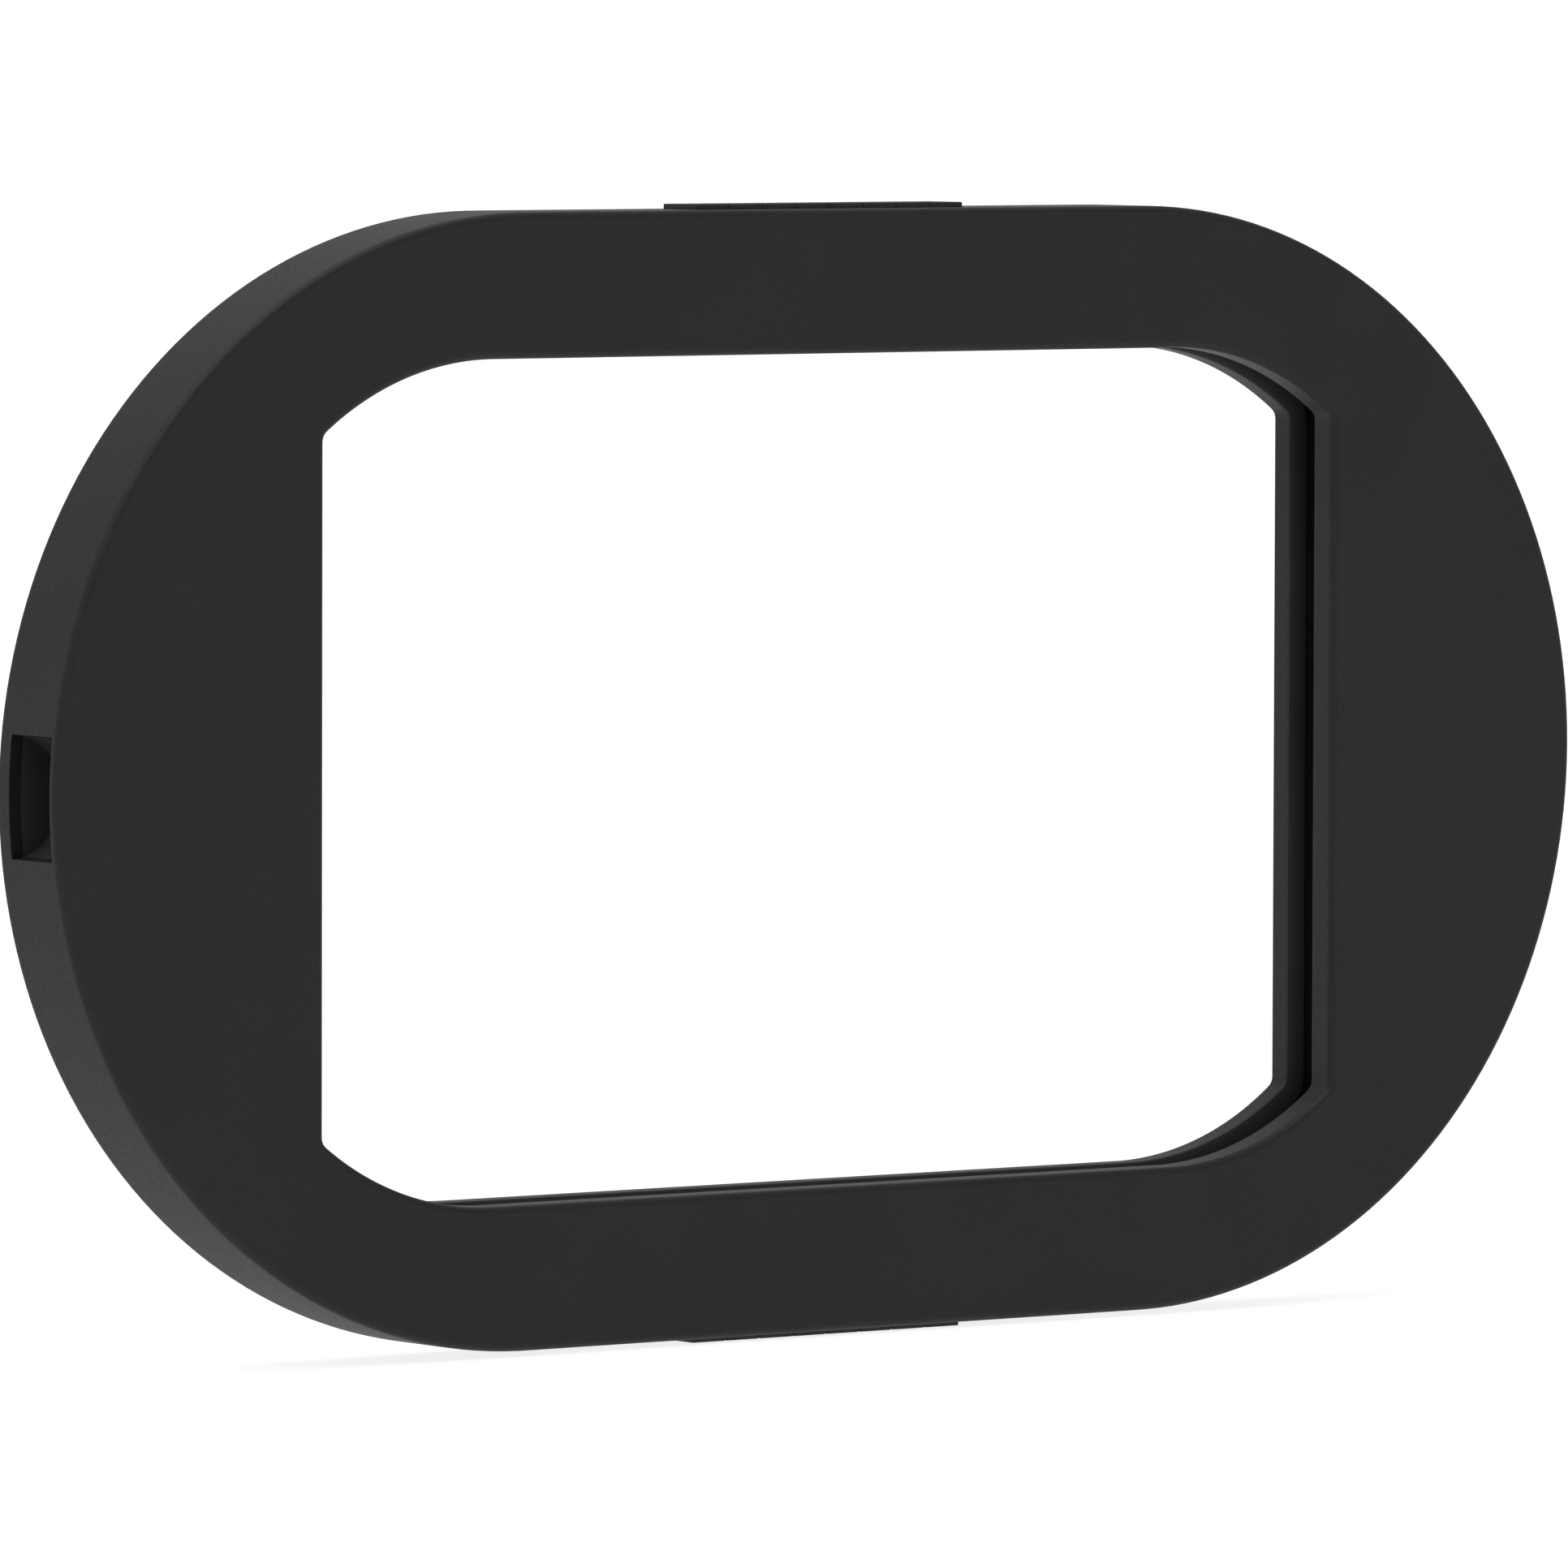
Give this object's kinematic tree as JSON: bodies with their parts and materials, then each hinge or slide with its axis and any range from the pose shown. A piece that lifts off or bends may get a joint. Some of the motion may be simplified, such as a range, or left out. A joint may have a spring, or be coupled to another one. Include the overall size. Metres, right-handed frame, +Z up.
{
  "type": "barn door attachment",
  "caption": "Slim obround barn door frame with a wide cut-corner opening; thin leaves slide out of its inner groove to trim a panel light's beam.",
  "frame": {"origin": "middle of the underside, where the bottom grip strip rests", "axes": "+X to the right along the long side seen from the front, +Y from the front face to the rear face, +Z up; the front face looks towards -Y"},
  "size_m": [0.3366, 0.0176, 0.2019],
  "materials": {
    "housing_plastic": "moulded, satin black, slightly grey",
    "slide_plastic": "black acetal, smooth",
    "leaf_sheet": "matt black anodised sheet",
    "soft_rubber": "matt black elastomer",
    "spring_steel": "plain spring steel strip",
    "screw_steel": "blackened steel",
    "magnet_plating": "nickel plated",
    "rivet_metal": "plain aluminium"
  },
  "bodies": {
    "housing": {"bottom_grip_strip": "soft_rubber", "bottom_left_spring": "spring_steel", "bottom_rail": "slide_plastic", "bottom_right_spring": "spring_steel", "cover_screw_1": "screw_steel", "cover_screw_2": "screw_steel", "cover_screw_3": "screw_steel", "cover_screw_4": "screw_steel", "cover_screw_5": "screw_steel", "cover_screw_6": "screw_steel", "cover_screw_7": "screw_steel", "cover_screw_8": "screw_steel", "divider_plate": "leaf_sheet", "front_cover": "housing_plastic", "left_lower_rail": "slide_plastic", "left_lower_spring": "spring_steel", "left_upper_rail": "slide_plastic", "left_upper_spring": "spring_steel", "magnet_1": "magnet_plating", "magnet_2": "magnet_plating", "magnet_3": "magnet_plating", "magnet_4": "magnet_plating", "magnet_5": "magnet_plating", "magnet_6": "magnet_plating", "rear_cover": "housing_plastic", "right_lower_rail": "slide_plastic", "right_lower_spring": "spring_steel", "right_upper_rail": "slide_plastic", "right_upper_spring": "spring_steel", "top_grip_strip": "soft_rubber", "top_left_spring": "spring_steel", "top_rail": "slide_plastic", "top_right_spring": "spring_steel"},
    "left_shutter": {"left_leaf": "leaf_sheet", "left_leaf_soft_edge": "soft_rubber", "left_lower_rivet": "rivet_metal", "left_thumb_cup": "housing_plastic", "left_upper_rivet": "rivet_metal"},
    "right_shutter": {"right_leaf": "leaf_sheet", "right_leaf_soft_edge": "soft_rubber", "right_lower_rivet": "rivet_metal", "right_thumb_cup": "housing_plastic", "right_upper_rivet": "rivet_metal"},
    "top_shutter": {"top_leaf": "leaf_sheet", "top_leaf_soft_edge": "soft_rubber"},
    "bottom_shutter": {"bottom_leaf": "leaf_sheet", "bottom_leaf_soft_edge": "soft_rubber"}
  },
  "joints": [
    {"name": "left_leaf_slide", "type": "slide", "parent": "housing", "child": "left_shutter", "axis": [1, 0, 0], "range_m": [0, 0.03]},
    {"name": "right_leaf_slide", "type": "slide", "parent": "housing", "child": "right_shutter", "axis": [-1, 0, 0], "range_m": [0, 0.03]},
    {"name": "top_leaf_slide", "type": "slide", "parent": "housing", "child": "top_shutter", "axis": [0, 0, -1], "range_m": [0, 0.016]},
    {"name": "bottom_leaf_slide", "type": "slide", "parent": "housing", "child": "bottom_shutter", "axis": [0, 0, 1], "range_m": [0, 0.016]}
  ]
}
